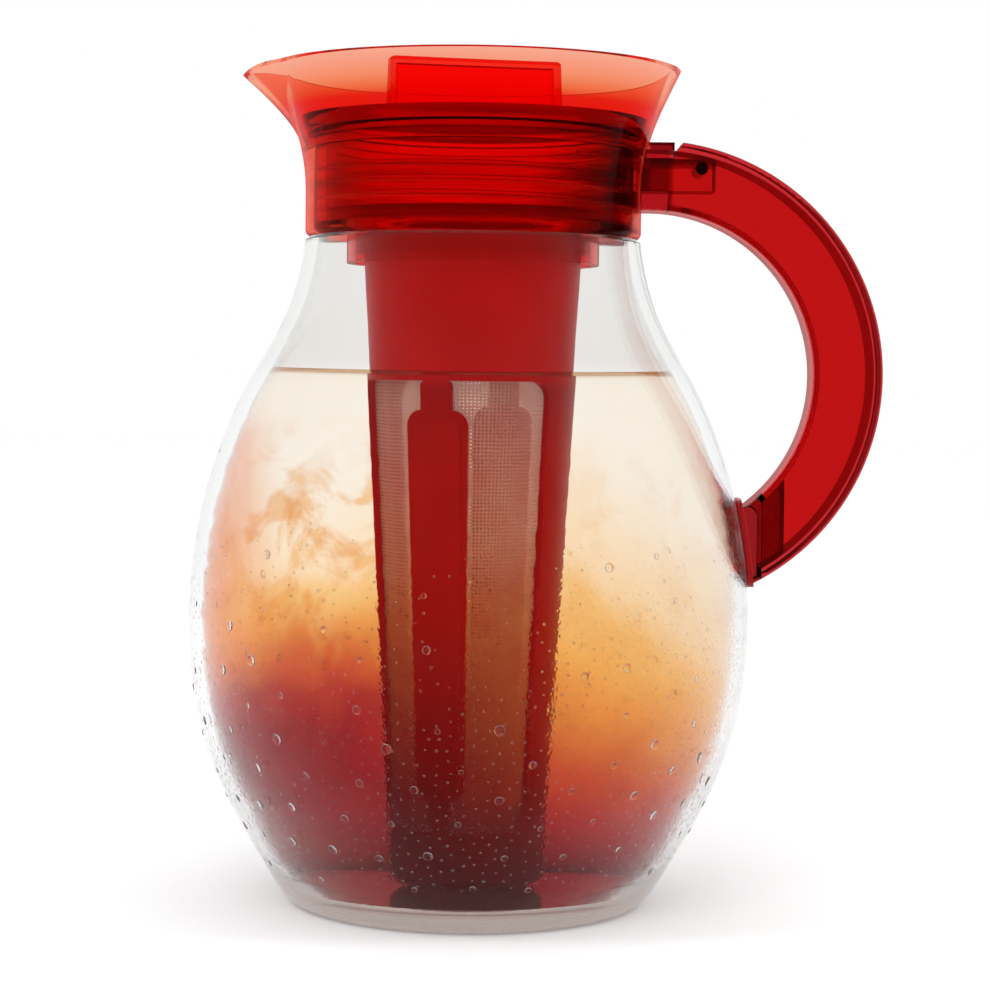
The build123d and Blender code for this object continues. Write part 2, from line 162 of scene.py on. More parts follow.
def hang_lamp(name, place, width, height, power):
    """A soft rectangular lamp that faces the middle of the jug."""
    lamp = bpy.data.lights.new(name, "AREA")
    lamp.shape = "RECTANGLE"
    lamp.size, lamp.size_y, lamp.energy = width, height, power
    holder = bpy.data.objects.new(name, lamp)
    studio.collection.objects.link(holder)
    holder.location = place
    aim = Vector(jug_middle) - Vector(place)
    holder.rotation_euler = aim.to_track_quat("-Z", "Y").to_euler()
    holder.visible_transmission = False
    holder.visible_glossy = False


hang_lamp("strip_lamp_left", place=(-0.75, -0.45, 0.90), width=0.14, height=0.5, power=2.4)
hang_lamp("strip_lamp_right", place=(0.80, -0.35, 0.90), width=0.14, height=0.5, power=2.4)
hang_lamp("front_lamp", place=(-0.25, -1.1, 0.95), width=0.7, height=0.5, power=3.0)

camera_place = (0.00788, -0.8073, 0.1679)
camera_dip = 2.749
camera_roll = 0.68
camera = bpy.data.objects.new("camera", bpy.data.cameras.new("camera"))
studio.collection.objects.link(camera)
studio.camera = camera
camera.data.lens = 92.4
camera.data.sensor_width = 36
camera.matrix_world = (
    Matrix.Translation(camera_place)
    @ Matrix.Rotation(radians(90 - camera_dip), 4, "X")
    @ Matrix.Rotation(radians(camera_roll), 4, "Z")
)

# ---- clear jug ---------------------------------------------------------------------------
# The jug is one thick blow-moulded shell of clear copolyester with a heavy base. The eye
# gets a grey cast where it looks along the wall, partly the plastic's own faint tint and
# partly painted edge shade, slow ripples from the mould and, where the tea chills it, a
# fine grain of dew that softens what is behind.

dew_pitch = 0.0011
chill_lean = -0.30
chill_start, chill_full = 0.125, 0.060
foot_dry, foot_wet = 0.006, 0.014
base_full, base_end = 0.007, 0.015
surface_low, surface_high = 0.164, 0.172
neck_low, neck_high = 0.208, 0.214

clear_shell = bpy.data.materials.new("blow_moulded_clear_copolyester")
tree = empty_tree(clear_shell)
where = add_node(tree, "ShaderNodeTexCoord").outputs["Object"]
axes = add_node(tree, "ShaderNodeSeparateXYZ", {0: where}).outputs
height = axes["Z"]
# Painted edge shade: the wall greys towards grazing views, much more than its own faint tint
# would.
edge = add_node(tree, "ShaderNodeLayerWeight", {"Blend": 0.35}).outputs["Facing"]
tint = add_node(
    tree,
    "ShaderNodeValToRGB",
    {"Fac": edge},
    stops=[(0.0, "FDFDFD"), (1.0, "5C6268"), (0.55, "F6F7F7"), (0.85, "CACED0")],
)
dew = add_node(
    tree, "ShaderNodeTexVoronoi", {"Vector": where, "Scale": 1 / dew_pitch}
).outputs["Distance"]
dew_patch = add_node(
    tree, "ShaderNodeTexNoise", {"Vector": where, "Scale": 45.0, "Detail": 3.0}
).outputs["Fac"]
chill = add_node(
    tree, "ShaderNodeMath", {0: axes["X"], 1: chill_lean, 2: height}, operation="MULTIPLY_ADD"
).outputs[0]
cold = add_node(
    tree, "ShaderNodeMapRange", {"Value": chill, "From Min": chill_start, "From Max": chill_full}
).outputs[0]
thick = add_node(
    tree,
    "ShaderNodeMapRange",
    {"Value": dew_patch, "From Min": 0.25, "From Max": 0.60, "To Min": 0.35},
).outputs[0]
dry_foot = add_node(
    tree, "ShaderNodeMapRange", {"Value": height, "From Min": foot_dry, "From Max": foot_wet}
).outputs[0]
wet = add_node(tree, "ShaderNodeMath", {0: cold, 1: thick}, operation="MULTIPLY").outputs[0]
wet = add_node(tree, "ShaderNodeMath", {0: wet, 1: dry_foot}, operation="MULTIPLY").outputs[0]
bead = add_node(
    tree, "ShaderNodeMapRange", {"Value": dew, "From Min": 0.55, "From Max": 0.1}
).outputs[0]
bead = add_node(tree, "ShaderNodeMath", {0: bead, 1: wet}, operation="MULTIPLY").outputs[0]
# Painted shade: the wet wall is darkened a little between the dew beads.
rim = add_node(
    tree, "ShaderNodeMapRange", {"Value": dew, "From Min": 0.25, "From Max": 0.6, "To Max": 0.12}
).outputs[0]
rim = add_node(tree, "ShaderNodeMath", {0: rim, 1: wet}, operation="MULTIPLY").outputs[0]
skin_colour = add_node(
    tree, "ShaderNodeMix", {0: rim, 6: tint.outputs[0], 7: paint("8C7A74")}, data_type="RGBA"
).outputs[2]
# Painted shade: above the tea the clear wall is painted a little greyer.
painted_grey_above_tea = add_node(
    tree,
    "ShaderNodeMapRange",
    {"Value": height, "From Min": surface_low, "From Max": surface_high},
).outputs[0]
skin_colour = add_node(
    tree,
    "ShaderNodeMix",
    {0: painted_grey_above_tea, 6: skin_colour, 7: paint("F7F6F4")},
    data_type="RGBA",
    blend_type="MULTIPLY",
).outputs[2]
# Painted light: the heavy base is tinted pinkish brown, as the tea's light caught in it.
painted_tea_light_in_base = add_node(
    tree, "ShaderNodeMapRange", {"Value": height, "From Min": base_end, "From Max": base_full}
).outputs[0]
skin_colour = add_node(
    tree, "ShaderNodeMix", {0: painted_tea_light_in_base, 6: skin_colour, 7: paint("E2CEC6")}, data_type="RGBA"
).outputs[2]
ripple = add_node(
    tree, "ShaderNodeTexNoise", {"Vector": where, "Scale": 45.0, "Detail": 2.0}
).outputs["Fac"]
relief = add_node(tree, "ShaderNodeBump", {"Height": ripple, "Strength": 0.1, "Distance": 0.0001})
relief = add_node(
    tree,
    "ShaderNodeBump",
    {"Height": bead, "Strength": 0.05, "Distance": 0.0003, "Normal": relief.outputs[0]},
)
haze = add_node(
    tree, "ShaderNodeMapRange", {"Value": wet, "To Min": 0.01, "To Max": 0.05}
).outputs[0]
neck = add_node(
    tree, "ShaderNodeMapRange", {"Value": height, "From Min": neck_low, "From Max": neck_high}
).outputs[0]
shine = add_node(
    tree, "ShaderNodeMix", {0: neck, 6: paint("4A4A4A"), 7: paint("F0F0F0")}, data_type="RGBA"
)
skin = add_node(
    tree,
    "ShaderNodeBsdfPrincipled",
    {
        "Base Color": skin_colour,
        "Roughness": haze,
        "IOR": 1.52,
        "Transmission Weight": 1.0,
        "Specular Tint": shine.outputs[2],
        "Normal": relief.outputs[0],
    },
)
add_node(tree, "ShaderNodeOutputMaterial", {"Surface": skin.outputs[0]})


def dress(node_name, material):
    """Gives a CAD node its finish in every material slot."""
    for slot in nodes[node_name].material_slots:
        slot.material = material


dress("pitcher_body", clear_shell)

# ---- condensation ------------------------------------------------------------------------
# Drops of water stand on the cold lower half of the jug: many up to a millimetre across,
# and a few that have run together to nearly 4 mm. Each is a flat dome seated on the wall.

drop_sink = 0.00004
dew_top = 0.118
dew_base = 0.014
dew_full = 0.06
foot_clearance = 0.0745
densest = 400000.0
dome_flatness = 0.3


def outer_radius(height):
    """Outer radius of the jug's wall at a height, felt from outside."""
    hit, spot, *_ = nodes["pitcher_body"].ray_cast((0, -0.3, height), (0, 1, 0))
    return -spot.y if hit else 0


def turned(name, profile, steps=144):
    """A piece turned about Z from (radius, height) points; radius 0 closes it in a pole."""
    shape = bmesh.new()
    rings = []
    for radius, height in profile:
        turns = range(steps) if radius else range(1)
        rings.append(
            [
                shape.verts.new(
                    (radius * cos(2 * pi * k / steps), radius * sin(2 * pi * k / steps), height)
                )
                for k in turns
            ]
        )
    for low, high in zip(rings, rings[1:]):
        for k in range(steps):
            after = k + 1
            corners = [
                low[k % len(low)],
                low[after % len(low)],
                high[after % len(high)],
                high[k % len(high)],
            ]
            shape.faces.new(list(dict.fromkeys(corners)))
    if len(rings[0]) == 1:
        bmesh.ops.recalc_face_normals(shape, faces=shape.faces)
    mesh = bpy.data.meshes.new(name)
    shape.to_mesh(mesh)
    shape.free()
    mesh.shade_smooth()
    mesh.set_sharp_from_angle(angle=radians(35))
    piece = bpy.data.objects.new(name, mesh)
    studio.collection.objects.link(piece)
    return piece


def new_recipe(name, sizes):
    """A geometry node tree with a geometry, a material and named sizes as its inputs."""
    tree = bpy.data.node_groups.new(name, "GeometryNodeTree")
    tree.interface.new_socket("Geometry", in_out="INPUT", socket_type="NodeSocketGeometry")
    tree.interface.new_socket("Finish", in_out="INPUT", socket_type="NodeSocketMaterial")
    for size in sizes:
        kind = "NodeSocketInt" if size in ("Seed", "Sides", "Rings") else "NodeSocketFloat"
        tree.interface.new_socket(size, in_out="INPUT", socket_type=kind)
    tree.interface.new_socket("Geometry", in_out="OUTPUT", socket_type="NodeSocketGeometry")
    return tree


def cast(name, recipe, sizes, finish, start=None):
    """Runs a recipe on a start mesh and returns its result as a plain piece."""
    holder = bpy.data.objects.new(name, start or bpy.data.meshes.new(name + "_start"))
    studio.collection.objects.link(holder)
    step = holder.modifiers.new("recipe", "NODES")
    step.node_group = recipe
    wanted = dict(sizes, Finish=finish)
    for socket in recipe.interface.items_tree:
        if socket.in_out == "INPUT" and socket.name in wanted:
            step[socket.identifier] = wanted[socket.name]
    bpy.context.view_layer.update()
    solid = bpy.data.meshes.new_from_object(
        holder.evaluated_get(bpy.context.evaluated_depsgraph_get())
    )
    holder.modifiers.remove(step)
    holder.data = solid
    solid.name = name
    return holder


water = bpy.data.materials.new("clear_water_drops")
tree = empty_tree(water)
where = add_node(tree, "ShaderNodeTexCoord").outputs["Object"]
dust = add_node(
    tree, "ShaderNodeTexNoise", {"Vector": where, "Scale": 300.0, "Detail": 2.0}
).outputs["Fac"]
cast_of_water = add_node(
    tree, "ShaderNodeValToRGB", {"Fac": dust}, stops=[(0.3, "F4F4F4"), (0.7, "FFFFFF")]
)
clean = add_node(tree, "ShaderNodeMapRange", {"Value": dust, "To Max": 0.02})
relief = add_node(tree, "ShaderNodeBump", {"Height": dust, "Strength": 0.1, "Distance": 0.0002})
skin = add_node(
    tree,
    "ShaderNodeBsdfPrincipled",
    {
        "Base Color": cast_of_water.outputs[0],
        "Roughness": clean.outputs[0],
        "IOR": 1.33,
        "Transmission Weight": 1.0,
        "Specular Tint": (0.2, 0.2, 0.2, 1.0),
        "Normal": relief.outputs[0],
    },
)
add_node(tree, "ShaderNodeOutputMaterial", {"Surface": skin.outputs[0]})

dew_drops = new_recipe(
    "dew_drops",
    [
        "Spacing",
        "Least Radius",
        "Most Radius",
        "Sides",
        "Rings",
        "Top",
        "Base",
        "Foot Clearance",
        "Seed",
    ],
)
begin = add_node(dew_drops, "NodeGroupInput").outputs
place = add_node(
    dew_drops,
    "ShaderNodeSeparateXYZ",
    {0: add_node(dew_drops, "GeometryNodeInputPosition").outputs[0]},
).outputs
fade_top = add_node(
    dew_drops,
    "ShaderNodeMapRange",
    {"Value": place["Z"], "From Min": begin["Top"], "From Max": dew_full},
).outputs[0]
fade_base = add_node(
    dew_drops, "ShaderNodeMath", {0: place["Z"], 1: begin["Base"]}, operation="GREATER_THAN"
).outputs[0]
off_foot = add_node(
    dew_drops, "ShaderNodeMath", {0: place["X"], 1: begin["Foot Clearance"]}, operation="LESS_THAN"
).outputs[0]
chance = add_node(
    dew_drops, "ShaderNodeMath", {0: fade_top, 1: fade_base}, operation="MULTIPLY"
).outputs[0]
chance = add_node(
    dew_drops, "ShaderNodeMath", {0: chance, 1: off_foot}, operation="MULTIPLY"
).outputs[0]
scatter = add_node(
    dew_drops,
    "GeometryNodeDistributePointsOnFaces",
    {
        "Mesh": begin["Geometry"],
        "Distance Min": begin["Spacing"],
        "Density Max": densest,
        "Density Factor": chance,
        "Seed": begin["Seed"],
    },
    distribute_method="POISSON",
).outputs
ball = add_node(
    dew_drops,
    "GeometryNodeMeshUVSphere",
    {"Segments": begin["Sides"], "Rings": begin["Rings"], "Radius": 1.0},
).outputs["Mesh"]
spot = add_node(dew_drops, "GeometryNodeInputPosition").outputs[0]
parts = add_node(dew_drops, "ShaderNodeSeparateXYZ", {0: spot}).outputs
crown = add_node(
    dew_drops, "ShaderNodeMath", {0: parts["Z"], 1: 0.0}, operation="MAXIMUM"
).outputs[0]
crown = add_node(
    dew_drops, "ShaderNodeMath", {0: crown, 1: dome_flatness}, operation="MULTIPLY"
).outputs[0]
domed = add_node(
    dew_drops, "ShaderNodeCombineXYZ", {0: parts["X"], 1: parts["Y"], 2: crown}
).outputs[0]
dome = add_node(
    dew_drops, "GeometryNodeSetPosition", {"Geometry": ball, "Position": domed}
).outputs[0]
random_size = add_node(
    dew_drops,
    "FunctionNodeRandomValue",
    {2: begin["Least Radius"], 3: begin["Most Radius"], "Seed": begin["Seed"]},
    data_type="FLOAT",
)
seated = add_node(
    dew_drops,
    "GeometryNodeInstanceOnPoints",
    {
        "Points": scatter["Points"],
        "Instance": dome,
        "Rotation": scatter["Rotation"],
        "Scale": random_size.outputs[1],
    },
).outputs[0]
solid = add_node(dew_drops, "GeometryNodeRealizeInstances", {0: seated}).outputs[0]
solid = add_node(dew_drops, "GeometryNodeSetShadeSmooth", {"Geometry": solid}).outputs[0]
solid = add_node(
    dew_drops, "GeometryNodeSetMaterial", {"Geometry": solid, "Material": begin["Finish"]}
).outputs[0]
add_node(dew_drops, "NodeGroupOutput", {"Geometry": solid})

bpy.context.view_layer.update()
rows = 40
wet_heights = [dew_base + (dew_top - dew_base) * row / rows for row in range(rows + 1)]
wet_wall = turned(
    "wet_wall", [(outer_radius(height) - drop_sink, height) for height in wet_heights]
)
dew_sizes = {"Top": dew_top, "Base": dew_base, "Foot Clearance": foot_clearance}
fine_sizes = {
    "Spacing": 0.0030,
    "Least Radius": 0.00025,
    "Most Radius": 0.0005,
    "Sides": 6,
    "Rings": 4,
    "Seed": 3,
}
fine_dew = cast("fine_dew", dew_drops, {**dew_sizes, **fine_sizes}, water, wet_wall.data)
run_sizes = {
    "Spacing": 0.0140,
    "Least Radius": 0.0008,
    "Most Radius": 0.0018,
    "Sides": 10,
    "Rings": 6,
    "Seed": 8,
}
run_drops = cast("run_drops", dew_drops, {**dew_sizes, **run_sizes}, water, wet_wall.data)
bpy.data.objects.remove(wet_wall)
for drops in (fine_dew, run_drops):
    for point in drops.data.vertices:
        point.co = [min(max(value, low), high) for value, low, high in zip(point.co, *cad_box)]
    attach(drops, "pitcher")

# ---- iced tea ----------------------------------------------------------------------------
# Cold-brewed tea fills the jug to below its shoulder and touches the wall all round. It
# goes from dark crimson at the floor through amber to pale cream under the surface, in
# soft clouds where the brew is still mixing, and ends in a thin tan line of painted shade
# at the meniscus. A band of painted orange light runs down its edge on the spout side.

tea_level = 0.1664
tea_gap = 0.0001
floor_top = 0.0060
meniscus = 0.0012
meniscus_shade_depth = 0.0008
low_crowding = 1.4


def wall_radius(height):
    """Inner radius of the jug's wall at a height, felt from the axis."""
    hit, spot, *_ = nodes["pitcher_body"].ray_cast((0, 0, height), (1, 0, 0))
    return spot.x if hit else 0


bpy.context.view_layer.update()
tea_profile = [(0, floor_top + tea_gap)]
tea_rows = 72
for row in range(tea_rows + 1):
    share = row / tea_rows
    height = floor_top + tea_gap + (tea_level - floor_top) * share**low_crowding
    tea_profile.append((wall_radius(height) - tea_gap, height))
tea_profile.append((wall_radius(tea_level + meniscus) - tea_gap, tea_level + meniscus))
tea_profile.append((wall_radius(tea_level) - meniscus, tea_level))
tea_profile.append((0, tea_level))
tea = turned("iced_tea", tea_profile)

brewed_tea = bpy.data.materials.new("cold_brewed_tea")
tree = empty_tree(brewed_tea)
where = add_node(tree, "ShaderNodeTexCoord").outputs["Object"]
axes = add_node(tree, "ShaderNodeSeparateXYZ", {0: where}).outputs
cloud = add_node(
    tree, "ShaderNodeTexNoise", {
        "Vector": where, "Scale": 16.0, "Detail": 4.0, "Roughness": 0.55, "Distortion": 0.8
    }
).outputs["Fac"]
up = add_node(
    tree, "ShaderNodeMapRange", {"Value": axes["Z"], "From Min": 0.006, "From Max": 0.166}
).outputs[0]
lean = add_node(
    tree, "ShaderNodeMath", {0: axes["X"], 1: 2.0, 2: up}, operation="MULTIPLY_ADD"
).outputs[0]
drift = add_node(
    tree, "ShaderNodeMapRange", {"Value": cloud, "To Min": -0.16, "To Max": 0.16}
).outputs[0]
edge = add_node(tree, "ShaderNodeLayerWeight", {"Blend": 0.5}).outputs["Facing"]
lift = add_node(
    tree,
    "ShaderNodeMapRange",
    {"Value": axes["Z"], "From Min": 0.018, "From Max": 0.075, "To Max": 0.26},
).outputs[0]
thin = add_node(
    tree, "ShaderNodeMath", {0: edge, 1: lift, 2: lean}, operation="MULTIPLY_ADD"
).outputs[0]
left = add_node(
    tree, "ShaderNodeMapRange", {"Value": axes["X"], "From Min": -0.010, "From Max": -0.040}
).outputs[0]
cream = add_node(
    tree, "ShaderNodeMapRange", {
        "Value": axes["Z"], "From Min": 0.075, "From Max": 0.100, "To Min": -0.04, "To Max": 0.20
    }
).outputs[0]
thin = add_node(
    tree, "ShaderNodeMath", {0: left, 1: cream, 2: thin}, operation="MULTIPLY_ADD"
).outputs[0]
depth = add_node(tree, "ShaderNodeMath", {0: thin, 1: drift}, operation="ADD").outputs[0]
brew = add_node(
    tree,
    "ShaderNodeValToRGB",
    {"Fac": depth},
    stops=[
        (0.0, "8C2A2A"),
        (1.0, "FFF6E8"),
        (0.12, "820E1A"),
        (0.22, "96181E"),
        (0.30, "B43220"),
        (0.37, "CA5E2C"),
        (0.45, "E08038"),
        (0.54, "ECA048"),
        (0.64, "F6B868"),
        (0.72, "FDD8A8"),
        (0.82, "FFE6C4"),
    ],
)
swirl = add_node(
    tree, "ShaderNodeTexNoise", {
        "Vector": where, "Scale": 26.0, "Detail": 4.0, "Roughness": 0.6, "Distortion": 1.8
    }
).outputs["Fac"]
streak = add_node(
    tree, "ShaderNodeMapRange", {"Value": swirl, "From Min": 0.50, "From Max": 0.62}
).outputs[0]
mid_low = add_node(
    tree, "ShaderNodeMapRange", {"Value": axes["Z"], "From Min": 0.060, "From Max": 0.090}
).outputs[0]
mid_high = add_node(
    tree, "ShaderNodeMapRange", {"Value": axes["Z"], "From Min": 0.152, "From Max": 0.130}
).outputs[0]
streak = add_node(tree, "ShaderNodeMath", {0: streak, 1: mid_low}, operation="MULTIPLY").outputs[0]
streak = add_node(
    tree, "ShaderNodeMath", {0: streak, 1: mid_high}, operation="MULTIPLY"
).outputs[0]
gone = add_node(
    tree,
    "ShaderNodeMapRange",
    {"Value": axes["X"], "From Min": -0.006, "From Max": 0.020, "To Min": 0.85, "To Max": 0.2},
).outputs[0]
streak = add_node(tree, "ShaderNodeMath", {0: streak, 1: gone}, operation="MULTIPLY").outputs[0]
brewed = add_node(
    tree, "ShaderNodeMix", {0: streak, 6: brew.outputs[0], 7: paint("EC9C44")}, data_type="RGBA"
).outputs[2]
# Painted light: an orange band of edge light down the tea on the spout side.
painted_edge_light_band = add_node(
    tree,
    "ShaderNodeMapRange",
    {"Value": axes["X"], "From Min": -0.062, "From Max": -0.072, "To Max": 0.7},
).outputs[0]
painted_band_below_top = add_node(
    tree, "ShaderNodeMapRange", {"Value": axes["Z"], "From Min": 0.160, "From Max": 0.145}
).outputs[0]
painted_edge_light_band = add_node(tree, "ShaderNodeMath", {0: painted_edge_light_band, 1: painted_band_below_top}, operation="MULTIPLY").outputs[0]
painted_band_above_floor = add_node(
    tree, "ShaderNodeMapRange", {"Value": axes["Z"], "From Min": 0.060, "From Max": 0.080}
).outputs[0]
painted_edge_light_band = add_node(tree, "ShaderNodeMath", {0: painted_edge_light_band, 1: painted_band_above_floor}, operation="MULTIPLY").outputs[0]
brewed = add_node(
    tree, "ShaderNodeMix", {0: painted_edge_light_band, 6: brewed, 7: paint("F08838")}, data_type="RGBA"
).outputs[2]
# Painted shade: a thin darker tan line at the meniscus.
painted_meniscus_shade = add_node(
    tree,
    "ShaderNodeMapRange",
    {"Value": axes["Z"], "From Min": tea_level - meniscus_shade_depth, "From Max": tea_level},
).outputs[0]
body_colour = add_node(
    tree, "ShaderNodeMix", {0: painted_meniscus_shade, 6: brewed, 7: paint("D8B898")}, data_type="RGBA"
)
liquid = add_node(
    tree,
    "ShaderNodeBsdfPrincipled",
    {
        "Base Color": body_colour.outputs[2],
        "Roughness": 0.0,
        "IOR": 1.03,
        "Transmission Weight": 1.0,
    },
)
add_node(tree, "ShaderNodeOutputMaterial", {"Surface": liquid.outputs[0]})
tea.data.materials.append(brewed_tea)
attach(tea, "pitcher")

# ---- pouring collar ----------------------------------------------------------------------
# The collar, its spout and the tongue for the handle are one injection moulding in red
# clear SAN. Its thin lip passes a salmon light and its thick skirt a deep red one, with
# dark streaks that grow towards the handle, and slow ripples and a fine grain in the gloss.

crown_base = 0.2335
crown_top = 0.2412


def red_plastic(
    name, thick_wall, edge_tint, haze_most, index=1.25, lip=(), tongue=None, root=None, dark_streak_share=0.0
):
    """Red clear plastic that tints light wall by wall. lip holds the (height, colour) stops
    of a thin lip; past tongue it's pale, where the handle covers it, with a deep crown on
    top; short of root the handle is solid, so it's deeper; dark_streak_share is the share of
    dark horizontal streaks on the handle's side."""
    material = bpy.data.materials.new(name)
    tree = empty_tree(material)
    where = add_node(tree, "ShaderNodeTexCoord").outputs["Object"]
    axes = add_node(tree, "ShaderNodeSeparateXYZ", {0: where}).outputs
    edge = add_node(tree, "ShaderNodeLayerWeight", {"Blend": 0.4}).outputs["Facing"]
    flow = add_node(
        tree, "ShaderNodeTexNoise", {"Vector": where, "Scale": 70.0, "Detail": 3.0}
    ).outputs["Fac"]
    shade = add_node(
        tree, "ShaderNodeMath", {0: flow, 1: 0.12, 2: edge}, operation="MULTIPLY_ADD"
    ).outputs[0]
    tint = add_node(
        tree, "ShaderNodeValToRGB", {"Fac": shade}, stops=[(0.15, thick_wall), (1.0, edge_tint)]
    ).outputs[0]
    if lip:
        low, high = lip[0][0], lip[-1][0]
        rise = add_node(
            tree, "ShaderNodeMapRange", {"Value": axes["Z"], "From Min": low, "From Max": high}
        ).outputs[0]
        stops = [
            ((place - low) / (high - low), colour)
            for place, colour in (lip[0], lip[-1], *lip[1:-1])
        ]
        thin = add_node(tree, "ShaderNodeValToRGB", {"Fac": rise}, stops=stops).outputs[0]
        share = add_node(
            tree,
            "ShaderNodeMapRange",
            {"Value": axes["Z"], "From Min": low - 0.004, "From Max": low},
        ).outputs[0]
        tint = add_node(
            tree, "ShaderNodeMix", {0: share, 6: tint, 7: thin}, data_type="RGBA"
        ).outputs[2]
    # Dark horizontal streaks below the lip, stronger towards the handle side.
    if dark_streak_share:
        stretched = add_node(
            tree, "ShaderNodeMapping", {"Vector": where, "Scale": (14.0, 14.0, 420.0)}
        ).outputs[0]
        line = add_node(
            tree,
            "ShaderNodeTexNoise",
            {"Vector": stretched, "Scale": 1.0, "Detail": 3.0, "Distortion": 0.6},
        ).outputs["Fac"]
        line = add_node(
            tree, "ShaderNodeMapRange", {"Value": line, "From Min": 0.42, "From Max": 0.62}
        ).outputs[0]
        right = add_node(
            tree,
            "ShaderNodeMapRange",
            {
                "Value": axes["X"],
                "From Min": 0.018,
                "From Max": 0.046,
                "To Min": 0.25,
                "To Max": dark_streak_share,
            },
        ).outputs[0]
        low = add_node(
            tree, "ShaderNodeMapRange", {"Value": axes["Z"], "From Min": 0.246, "From Max": 0.240}
        ).outputs[0]
        streaks = add_node(
            tree, "ShaderNodeMapRange", {"Value": right, "To Min": 0.0, "To Max": 0.35}
        ).outputs[0]
        line = add_node(
            tree, "ShaderNodeMath", {0: line, 1: streaks}, operation="ADD", use_clamp=True
        ).outputs[0]
        line = add_node(
            tree, "ShaderNodeMath", {0: line, 1: right}, operation="MULTIPLY"
        ).outputs[0]
        line = add_node(tree, "ShaderNodeMath", {0: line, 1: low}, operation="MULTIPLY").outputs[0]
        tint = add_node(
            tree, "ShaderNodeMix", {0: line, 6: tint, 7: paint("70101A")}, data_type="RGBA"
        ).outputs[2]
    if tongue:
        share = add_node(
            tree, "ShaderNodeMath", {0: axes["X"], 1: tongue}, operation="GREATER_THAN"
        ).outputs[0]
        below_top = add_node(
            tree, "ShaderNodeMath", {0: axes["Z"], 1: crown_top}, operation="LESS_THAN"
        ).outputs[0]
        share = add_node(
            tree, "ShaderNodeMath", {0: share, 1: below_top}, operation="MULTIPLY"
        ).outputs[0]
        under = add_node(
            tree, "ShaderNodeMath", {0: axes["Z"], 1: crown_base}, operation="LESS_THAN"
        ).outputs[0]
        covered = add_node(
            tree,
            "ShaderNodeMix",
            {0: under, 6: paint("8A0C14"), 7: paint("FAD0D0")},
            data_type="RGBA",
        ).outputs[2]
        tint = add_node(
            tree, "ShaderNodeMix", {0: share, 6: tint, 7: covered}, data_type="RGBA"
        ).outputs[2]
    if root:
        share = add_node(
            tree,
            "ShaderNodeMapRange",
            {"Value": axes["X"], "From Min": root, "From Max": root - 0.001},
        ).outputs[0]
        tint = add_node(
            tree, "ShaderNodeMix", {0: share, 6: tint, 7: paint("AC101A")}, data_type="RGBA"
        ).outputs[2]
    grain = add_node(
        tree, "ShaderNodeTexNoise", {"Vector": where, "Scale": 900.0, "Detail": 2.0}
    ).outputs["Fac"]
    haze = add_node(
        tree, "ShaderNodeMapRange", {"Value": flow, "To Min": 0.01, "To Max": haze_most}
    ).outputs[0]
    relief = add_node(
        tree, "ShaderNodeBump", {"Height": flow, "Strength": 0.2, "Distance": 0.00015}
    )
    relief = add_node(
        tree,
        "ShaderNodeBump",
        {"Height": grain, "Strength": 0.04, "Distance": 0.0001, "Normal": relief.outputs[0]},
    )
    skin = add_node(
        tree,
        "ShaderNodeBsdfPrincipled",
        {
            "Base Color": tint,
            "Roughness": haze,
            "IOR": index,
            "Transmission Weight": 1.0,
            "Specular Tint": (0.5, 0.12, 0.1, 1.0),
            "Normal": relief.outputs[0],
        },
    )
    # Painted light: a bright red matt sheen is mixed in where the surface is seen edge-on.
    along = add_node(tree, "ShaderNodeLayerWeight", {"Blend": 0.5}).outputs["Facing"]
    along = add_node(
        tree,
        "ShaderNodeMapRange",
        {"Value": along, "From Min": 0.78, "From Max": 0.90, "To Max": 0.75},
    ).outputs[0]
    painted_rim_light = add_node(tree, "ShaderNodeBsdfDiffuse", {"Color": paint("E83C28")})
    skin = add_node(
        tree, "ShaderNodeMixShader", {0: along, 1: skin.outputs[0], 2: painted_rim_light.outputs[0]}
    )
    add_node(tree, "ShaderNodeOutputMaterial", {"Surface": skin.outputs[0]})
    return material


collar_red = red_plastic(
    "moulded_red_clear_san",
    "F45840",
    "EC4A30",
    0.06,
    index=1.08,
    lip=[
        (0.2460, "F0302C"),
        (0.2500, "EE3428"),
        (0.2520, "F0683C"),
        (0.2560, "F68E68"),
        (0.2625, "F9A890"),
    ],
    tongue=0.0555,
    dark_streak_share=0.95,
)
dress("collar", collar_red)

clear_silicone = bpy.data.materials.new("moulded_clear_silicone")
tree = empty_tree(clear_silicone)
where = add_node(tree, "ShaderNodeTexCoord").outputs["Object"]
mottle = add_node(
    tree, "ShaderNodeTexNoise", {"Vector": where, "Scale": 400.0, "Detail": 3.0}
).outputs["Fac"]
milk = add_node(
    tree, "ShaderNodeValToRGB", {"Fac": mottle}, stops=[(0.3, "F8F0EE"), (0.7, "FFFAF8")]
)
relief = add_node(tree, "ShaderNodeBump", {"Height": mottle, "Strength": 0.2, "Distance": 0.0001})
skin = add_node(
    tree,
    "ShaderNodeBsdfPrincipled",
    {
        "Base Color": milk.outputs[0],
        "Roughness": 0.12,
        "IOR": 1.2,
        "Transmission Weight": 1.0,
        "Specular Tint": (0.8, 0.8, 0.8, 1.0),
        "Normal": relief.outputs[0],
    },
)
add_node(tree, "ShaderNodeOutputMaterial", {"Surface": skin.outputs[0]})
dress("collar_gasket", clear_silicone)

# ---- handle ------------------------------------------------------------------------------
# The handle is a hollow channel closed by a snapped-on outer band, with a foot that rests
# on the jug. All are moulded in the collar's plastic; a solid pin locks the collar's
# tongue in the top end, and the foot is thicker, so it looks darker.

handle_red = red_plastic("moulded_red_clear_san_handle", "DC4C50", "98141C", 0.08, root=0.0628)
dress("handle_channel", handle_red)
